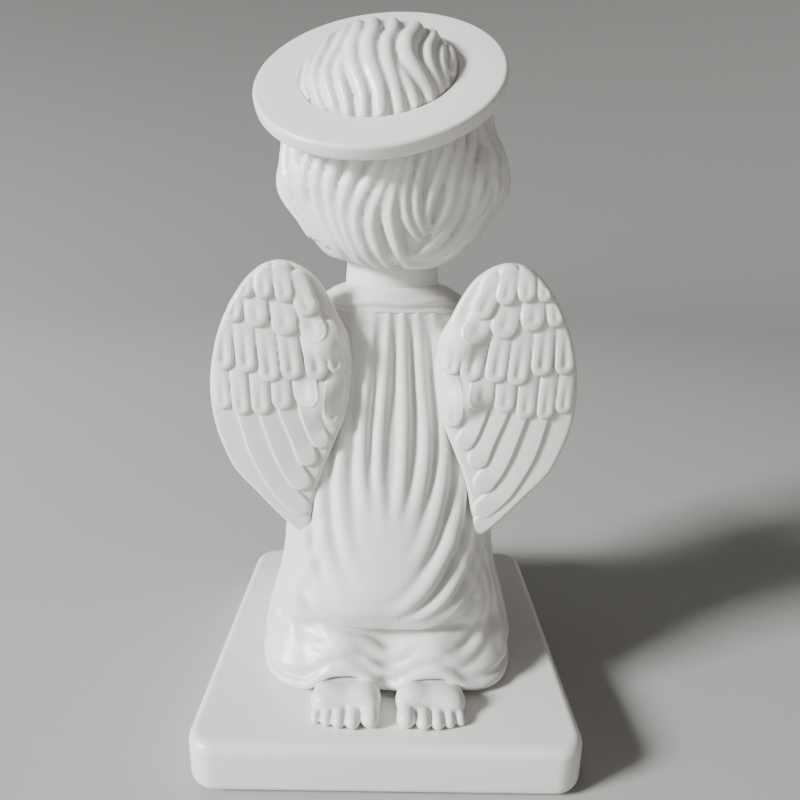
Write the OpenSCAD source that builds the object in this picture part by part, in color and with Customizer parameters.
// Kneeling resin angel figurine on a square plinth, an assembly of glued and pinned castings.
// Millimetres. The figure faces -Y, its back and wings are on the +Y side, and z = 0 is the table.

/* [Plinth] */
// Side of the square plinth
plinth_w = 102.5; // [98:0.5:110]
// Height of the plinth's top face above the table
plinth_top = 15; // [13:0.5:18]
// Radius of the plinth's four upright corners
plinth_corner = 8; // [6:0.5:12]
// Rounding of the plinth's top and bottom edges
plinth_edge = 2.6; // [1.5:0.1:3.5]
// Thickness of the felt under the plinth
felt_t = 0.8; // [0.5:0.1:1.5]

/* [Halo] */
// Outer radius of the flat ring
halo_r = 31; // [30:0.1:32]
// Radius of the hole that the crown passes through
halo_hole_r = 19.2; // [18.8:0.1:19.8]
// Thickness of the ring
halo_t = 4; // [3:0.1:5]
// Backward tilt of the ring, in degrees
halo_tilt = 38.9; // [36:0.5:42]
// Sideways lean of the ring, in degrees
halo_lean = 7.2; // [4:0.2:9]

/* [Neck and wings] */
// Radius of the neck
neck_r = 12.8; // [12.4:0.1:13]
// Thickness of a wing's plain plate
wing_t = 3.4; // [3:0.1:4]
// Distance from the middle of the back to a wing's inner edge
wing_gap = 10.2; // [10:0.1:11]
// How much further out the right wing was glued than the left
wing_offset = 1.6; // [0:0.1:2]

/* [Hidden] */

resin = "white";
steel = "silver";
felt = "dimgray";
glue_gap = 0.05;        // radial room for glue around each pin
loft_sides = 48;        // points round a lofted section
loft_steps = 2;         // rings between two stations of a loft
left = 1;               // the figure's own left is +X
right = -1;

neck_low = 119.5;       // the neck stands on the flat top of the robe
neck_high = 141;        // and ends inside the head
spigot_r = 6;           // short stub at each end of the neck
spigot_l = 8;
dowel_r = 2;            // steel dowel through the neck
dowel_low = neck_low - 16;
dowel_high = neck_high + 18;
pin_r = 1.5;            // steel pins of the wings and the sleeves
base_pin_r = 2.5;       // dowels from the plinth into the robe
base_pin_l = 22;
base_pin_y = 18;        // their distance from the middle, front and back

head_at = [0, -3, 161];
halo_at = [4.0, 12, 177.2];       // middle of the ring's upper face
wing_plane = 15.6;                // y of a wing's flat inner face
wing_foot = 60.5;                 // height that a wing's outline is measured from
wing_pin_at = [[17, 112], [18.5, 97]];   // x and z of each wing's two pins
sleeve_pin_at = [23.5, -1, 104];

// Sections of the robe from the plinth up: height, half width, front, back, squareness
robe_stations = [
    [15.0, 34.6, -43.0, 30.2, 4.4], [17.5, 37.0, -45.4, 32.0, 4.8], [21.0, 37.2, -45.6, 31.8, 4.6],
    [26.0, 36.4, -45.0, 29.4, 4.0], [31.0, 35.0, -44.2, 26.4, 3.4], [35.0, 34.0, -43.6, 27.6, 3.0],
    [39.0, 33.4, -42.2, 29.4, 2.7], [43.0, 32.8, -39.0, 30.0, 2.5], [47.0, 32.0, -33.0, 29.4, 2.4],
    [51.0, 31.2, -26.5, 28.2, 2.2], [58.0, 30.2, -21.5, 25.6, 2.2], [68.0, 28.6, -18.8, 21.8, 2.2],
    [80.0, 27.0, -17.0, 18.4, 2.2], [92.0, 26.4, -16.4, 16.0, 2.2], [103.0, 26.6, -16.0, 14.8, 2.2],
    [110.0, 26.0, -15.6, 14.6, 2.2], [115.0, 24.2, -15.4, 14.6, 2.2], [119.5, 21.2, -15.2, 14.6, 2.2]];
pleat_count = 22;
pleat_depth = 0.55;
pleat_low = 50;         // pleats fade out below this height
pleat_high = 116;

// Sections of the collar, a shallow dome on the shoulders
collar_stations = [
    [119.5, 21.8, -15.8, 15.4, 2.1], [121.5, 20.6, -15.6, 15.4, 2.1], [123.5, 18.4, -15.2, 15.0, 2.1],
    [125.2, 16.0, -14.6, 14.4, 2.0], [126.4, 14.4, -13.8, 13.8, 2.0], [127.0, 13.6, -13.2, 13.2, 2.0]];

// Sections of the mass of hair, from the nape to the crown
hair_stations = [
    [131.0, 11.5, -4.0, 18.0, 2.0], [132.8, 17.2, -8.0, 21.0, 2.0], [136.0, 21.6, -11.0, 23.2, 2.0],
    [140.0, 25.0, -14.0, 25.0, 2.0], [145.0, 28.4, -17.0, 26.8, 2.0], [150.0, 31.2, -20.0, 28.2, 2.1],
    [155.5, 32.3, -23.0, 28.8, 2.1], [162.0, 30.2, -27.5, 28.8, 2.1], [169.0, 28.6, -29.6, 27.8, 2.1],
    [176.0, 27.0, -28.6, 25.0, 2.1], [182.0, 22.4, -24.8, 20.6, 2.1], [187.0, 16.4, -19.0, 15.0, 2.0],
    [190.5, 9.0, -11.5, 7.6, 2.0], [192.0, 2.4, -5.0, 1.4, 2.0]];

// Outline of a wing, x outwards from its inner edge and y up from its tip
wing_outline = [
    [13.6, -2.2], [16.4, -1.2], [21.0, 3.2], [26.6, 9.2], [31.2, 14.8], [34.6, 20.8], [37.0, 28.0],
    [38.2, 36.0], [37.6, 44.0], [35.8, 52.0], [32.6, 60.0], [28.0, 67.0], [23.4, 71.0], [19.4, 72.2],
    [15.0, 71.6], [10.8, 68.6], [7.4, 63.6], [4.2, 57.0], [1.4, 50.6], [0.0, 45.6], [0.2, 39.0],
    [1.6, 31.6], [4.8, 23.6], [8.2, 15.4], [10.6, 7.6], [11.6, 1.0], [11.8, -1.4]];
// Rows of covert feathers: tip x, tip y, width, length
covert_rows = [
    [[30.0, 61.2, 5.0, 6.0], [24.0, 61.4, 5.4, 7.0], [17.6, 60.4, 5.8, 8.0], [11.6, 56.8, 5.8, 9.0]],
    [[31.0, 54.2, 5.4, 8.0], [24.2, 52.8, 6.4, 9.0], [16.8, 51.0, 6.6, 10.0], [9.4, 50.0, 6.4, 8.0]],
    [[34.2, 41.6, 5.2, 12.0], [28.0, 41.2, 5.6, 13.0], [21.6, 39.0, 5.8, 14.0], [15.4, 39.6, 5.8, 13.0],
     [8.8, 40.4, 6.0, 12.0], [3.6, 41.4, 5.2, 9.0]],
    [[34.4, 31.6, 4.8, 11.0], [29.4, 30.0, 5.4, 12.0], [23.6, 30.2, 5.6, 11.0], [17.8, 31.6, 5.6, 9.0],
     [11.4, 32.8, 6.2, 9.0], [4.8, 28.8, 5.2, 12.0]]];
covert_lift = [1.9, 1.6, 1.2, 0.8];      // how far each row stands off the plate

// ---- helpers ----

function signed_power(v, e) = sign(v) * pow(abs(v), e);

// A smooth value between the two middle ones of four, at t from 0 to 1
function between(a, b, c, d, t) =
    b + 0.5 * t * (c - a + t * (2 * a - 5 * b + 4 * c - d + t * (3 * (b - c) + d - a)));

function station(s, i) = s[max(0, min(len(s) - 1, i))];

function smooth_stations(s) = [
    for (i = [0 : len(s) - 2]) for (k = [0 : loft_steps - 1])
        [for (j = [0 : 4])
            between(station(s, i - 1)[j], s[i][j], s[i + 1][j], station(s, i + 2)[j], k / loft_steps)],
    s[len(s) - 1]];

function fade(z) = max(0, min(1, (z - pleat_low) / 14)) * max(0, min(1, (pleat_high - z) / 8));

function section(s, depth) = [
    for (k = [0 : loft_sides - 1])
        let (a = 360 * k / loft_sides,
             grow = 1 + depth * fade(s[0]) * cos(a * pleat_count) / s[1])
            [s[1] * signed_power(cos(a), 2 / s[4]) * grow,
             (s[2] + s[3]) / 2 + (s[3] - s[2]) / 2 * signed_power(sin(a), 2 / s[4]) * grow,
             s[0]]];

// A closed solid through the sections of a list of stations
module loft(stations, depth = 0) {
    rings = [for (s = smooth_stations(stations)) section(s, depth)];
    n = loft_sides;
    m = len(rings);
    polyhedron(
        points = [for (r = rings) each r],
        faces = [
            [for (k = [0 : n - 1]) k],
            [for (k = [0 : n - 1]) m * n - 1 - k],
            for (i = [0 : m - 2]) for (k = [0 : n - 1])
                each [[i * n + k, (i + 1) * n + k, (i + 1) * n + (k + 1) % n],
                      [i * n + k, (i + 1) * n + (k + 1) % n, i * n + (k + 1) % n]]],
        convexity = 6);
}

module ball(at, r) translate(at) sphere(r = r, $fn = 18);

module oval(at, r) translate(at) scale(r) sphere(r = 1, $fn = 30);

module along_y(at, r, l) translate(at) rotate([-90, 0, 0]) cylinder(r = r, h = l, $fn = 48);

module rounded_square(w, corner) {
    square([w - 2 * corner, w], center = true);
    square([w, w - 2 * corner], center = true);
    for (x = [-1, 1]) for (y = [-1, 1])
        translate([x, y] * (w / 2 - corner)) circle(r = corner, $fn = 64);
}

// Disc with a rounded rim, one corner of the plinth
module corner_disc(r, h, edge) rotate_extrude($fn = 48) {
    square([r - edge, h]);
    translate([0, edge]) square([r, h - 2 * edge]);
    for (z = [edge, h - edge]) translate([r - edge, z]) circle(r = edge, $fn = 32);
}

// ---- base ----

module plinth() color(resin) difference() {
    translate([0, 0, felt_t]) hull()
        for (x = [-1, 1]) for (y = [-1, 1])
            translate([x, y, 0] * (plinth_w / 2 - plinth_corner))
                corner_disc(plinth_corner, plinth_top - felt_t, plinth_edge);
    base_pins(glue_gap);
}

module felt_pad() color(felt)
    linear_extrude(felt_t) rounded_square(plinth_w - 2 * plinth_edge - 3, plinth_corner);

module base_pins(extra = 0)
    for (y = [-1, 1]) translate([0, y * base_pin_y, plinth_top - base_pin_l / 2 + 1 - extra])
        cylinder(r = base_pin_r + extra, h = base_pin_l + 2 * extra, $fn = 48);

module plinth_dowels() color(steel) base_pins();

// ---- body ----

module robe_mass() loft(robe_stations, pleat_depth);

module robe() color(resin) difference() {
    robe_mass();
    base_pins(glue_gap);
    translate([0, 0, neck_low - spigot_l]) cylinder(r = spigot_r + glue_gap, h = 20, $fn = 48);
    neck_pin(glue_gap);
    side_pins(glue_gap);
    back_pins(glue_gap);
}

module collar() color(resin) difference() {
    loft(collar_stations);
    translate([0, 0, neck_low - 1]) cylinder(r = neck_r + glue_gap, h = 20, $fn = 64);
}

module neck_pin(extra = 0) translate([0, 0, dowel_low - extra])
    cylinder(r = dowel_r + extra, h = dowel_high - dowel_low + 2 * extra, $fn = 48);

module neck() color(resin) difference() {
    union() {
        translate([0, 0, neck_low]) cylinder(r = neck_r, h = neck_high - neck_low, $fn = 64);
        translate([0, 0, neck_low - spigot_l])
            cylinder(r = spigot_r, h = neck_high - neck_low + 2 * spigot_l, $fn = 48);
    }
    neck_pin(glue_gap);
}

module neck_dowel() color(steel) neck_pin();

// ---- head ----

module head_mass(grow = 0) hull() {
    oval(head_at, [26, 26.5, 27.5] + grow * [1, 1, 1]);
    oval(head_at + [0, -7, -15], [18.5, 17.5, 13.5] + grow * [1, 1, 1]);
}

module head() color(resin) difference() {
    union() {
        head_mass();
        hull() {
            ball(head_at + [0, -27.4, -7], 2.2);
            ball(head_at + [0, -25.6, 0], 1.2);
        }
    }
    translate([0, 0, neck_low]) cylinder(r = neck_r + glue_gap, h = neck_high - neck_low, $fn = 64);
    translate([0, 0, neck_low]) cylinder(r = spigot_r + glue_gap, h = neck_high - neck_low + spigot_l, $fn = 48);
    neck_pin(glue_gap);
    halo_ring(glue_gap);
}

module hair() color(resin) difference() {
    loft(hair_stations);
    head_mass(glue_gap);
    translate([0, -60, head_at[2] - 9]) rotate([-90, 0, 0]) cylinder(r = 20, h = 46, $fn = 48);
    translate([0, 0, neck_low]) cylinder(r = neck_r + 0.6, h = neck_high - neck_low, $fn = 64);
    halo_ring(glue_gap);
}

module halo_ring(extra = 0)
    translate(halo_at) rotate([0, halo_lean, 0]) rotate([-halo_tilt, 0, 0])
        translate([0, 0, -halo_t - extra]) rotate_extrude($fn = 128) {
            edge = 1.1;
            low = halo_hole_r - extra;
            high = halo_r + extra;
            tall = halo_t + 2 * extra;
            translate([low, edge]) square([high - low, tall - 2 * edge]);
            translate([low + edge, 0]) square([high - low - 2 * edge, tall]);
            for (r = [low + edge, high - edge]) for (z = [edge, tall - edge])
                translate([r, z]) circle(r = edge, $fn = 32);
        }

module halo() color(resin) halo_ring();

// ---- wings ----

// One feather drawn flat, with its rounded tip at the origin and its length up
module feather(w, l) {
    translate([0, w / 2]) circle(r = w / 2, $fn = 32);
    translate([-w / 2, w / 2]) square([w, l - w / 2]);
}

module wing_sheet(side, t)
    translate([wing_gap + (side == right ? wing_offset : 0), wing_plane, wing_foot])
        rotate([90, 0, 180]) mirror([1, 0, 0]) linear_extrude(t) children();

module wing(side) color(resin) mirror([side == left ? 0 : 1, 0, 0]) difference() {
    union() {
        wing_sheet(side, wing_t) polygon(wing_outline);
        for (row = [0 : len(covert_rows) - 1]) for (f = covert_rows[row])
            wing_sheet(side, wing_t + covert_lift[row]) intersection() {
                polygon(wing_outline);
                translate([f[0], f[1]]) feather(f[2], f[3]);
            }
        for (p = wing_pin_at) along_y([p[0], 4, p[1]], 5.5, wing_plane - 3);
    }
    robe_mass();
    wing_pin_pair(glue_gap);
}

module wing_pin_pair(extra = 0)
    for (p = wing_pin_at) along_y([p[0], 2 - extra, p[1]], pin_r + extra, wing_plane - 0.5 + 2 * extra);

module back_pins(extra = 0) for (side = [0, 1]) mirror([side, 0, 0]) wing_pin_pair(extra);

module wing_pins() color(steel) back_pins();

module wing_left() wing(left);
module wing_right() wing(right);

// ---- arms ----

module sleeve_mass() {
    hull() {
        ball([23.0, -3, 108], 8.2);
        ball([27.6, -12, 83], 9.4);
    }
    hull() {
        ball([27.6, -12, 83], 9.4);
        ball([10.4, -26.5, 95], 7.2);
        ball([13.5, -24, 84], 6.4);
    }
}

module sleeve(side) color(resin) mirror([side == left ? 0 : 1, 0, 0]) difference() {
    sleeve_mass();
    robe_mass();
    hull() {
        ball([2.6, -31.0, 98], 4.6);
        ball([14, -24, 93], 4.4);
    }
    translate([-20, -60, 60]) cube([22.5, 60, 60]);
    translate(sleeve_pin_at) rotate([0, 90, 0]) cylinder(r = pin_r + glue_gap, h = 16, center = true, $fn = 32);
}

module side_pins(extra = 0) for (side = [-1, 1])
    translate([side * sleeve_pin_at[0], sleeve_pin_at[1], sleeve_pin_at[2]]) rotate([0, 90, 0])
        cylinder(r = pin_r + extra, h = 12 + 2 * extra, center = true, $fn = 32);

module sleeve_pins() color(steel) side_pins();

module sleeve_left() sleeve(left);
module sleeve_right() sleeve(right);

// A praying hand: the palm is flat on the middle plane, the fingers up and a little forward.
// Each finger: y across the palm, height of the knuckle, height of the tip
hand_at = [0.15, -31.5, 97];
hand_lean = 12;
finger_rows = [[-4.6, 9.5, 19.0], [-1.6, 10.5, 22.0], [1.4, 10.0, 21.0], [4.2, 9.0, 17.6]];
finger_r = 1.75;

module hand(side) color(resin) mirror([side == left ? 0 : 1, 0, 0])
    translate(hand_at) rotate([hand_lean, 0, 0]) intersection() {
        translate([0, -30, -30]) cube([20, 60, 80]);
        union() {
            hull() for (y = [-3.8, 3.4]) for (z = [-3, 9]) ball([2.0, y, z], 2.4);
            hull() {
                ball([4.0, 2, -8], 3.2);
                ball([2.4, 0, 0], 3.0);
            }
            for (f = finger_rows) hull() {
                ball([1.6, f[0], f[1]], finger_r);
                ball([1.5, f[0] * 0.86, f[2]], finger_r * 0.8);
            }
            hull() {
                ball([2.6, 4.6, 1], 2.0);
                ball([1.9, 6.4, 10.5], 1.6);
            }
        }
    }

module hand_left() hand(left);
module hand_right() hand(right);

// ---- feet ----

foot_at = [12.0, 32, plinth_top];
// Each toe: x from the foot's middle, length, radius, from the big toe outwards
toes = [[-5.9, 13.4, 2.3], [-2.0, 13.6, 1.7], [1.2, 13.0, 1.6], [4.2, 12.0, 1.5], [6.9, 10.6, 1.4]];

module foot(side) color(resin) mirror([side == left ? 0 : 1, 0, 0]) difference() {
    translate(foot_at) {
        hull() {
            oval([0, -8, 5], [6.6, 9, 5]);
            oval([-0.4, 5.5, 3.2], [7.8, 5, 3.2]);
        }
        for (t = toes) hull() {
            ball([t[0] * 0.9, 7, t[2] + 0.4], t[2]);
            ball([t[0], t[1] - t[2], t[2]], t[2]);
        }
    }
    robe_mass();
    translate([0, 0, plinth_top - 20]) cube([100, 200, 40], center = true);
}

module foot_left() foot(left);
module foot_right() foot(right);

plinth();
felt_pad();
robe();
collar();
neck();
head();
hair();
halo();
wing_left();
wing_right();
sleeve_left();
sleeve_right();
hand_left();
hand_right();
foot_left();
foot_right();
neck_dowel();
wing_pins();
sleeve_pins();
plinth_dowels();
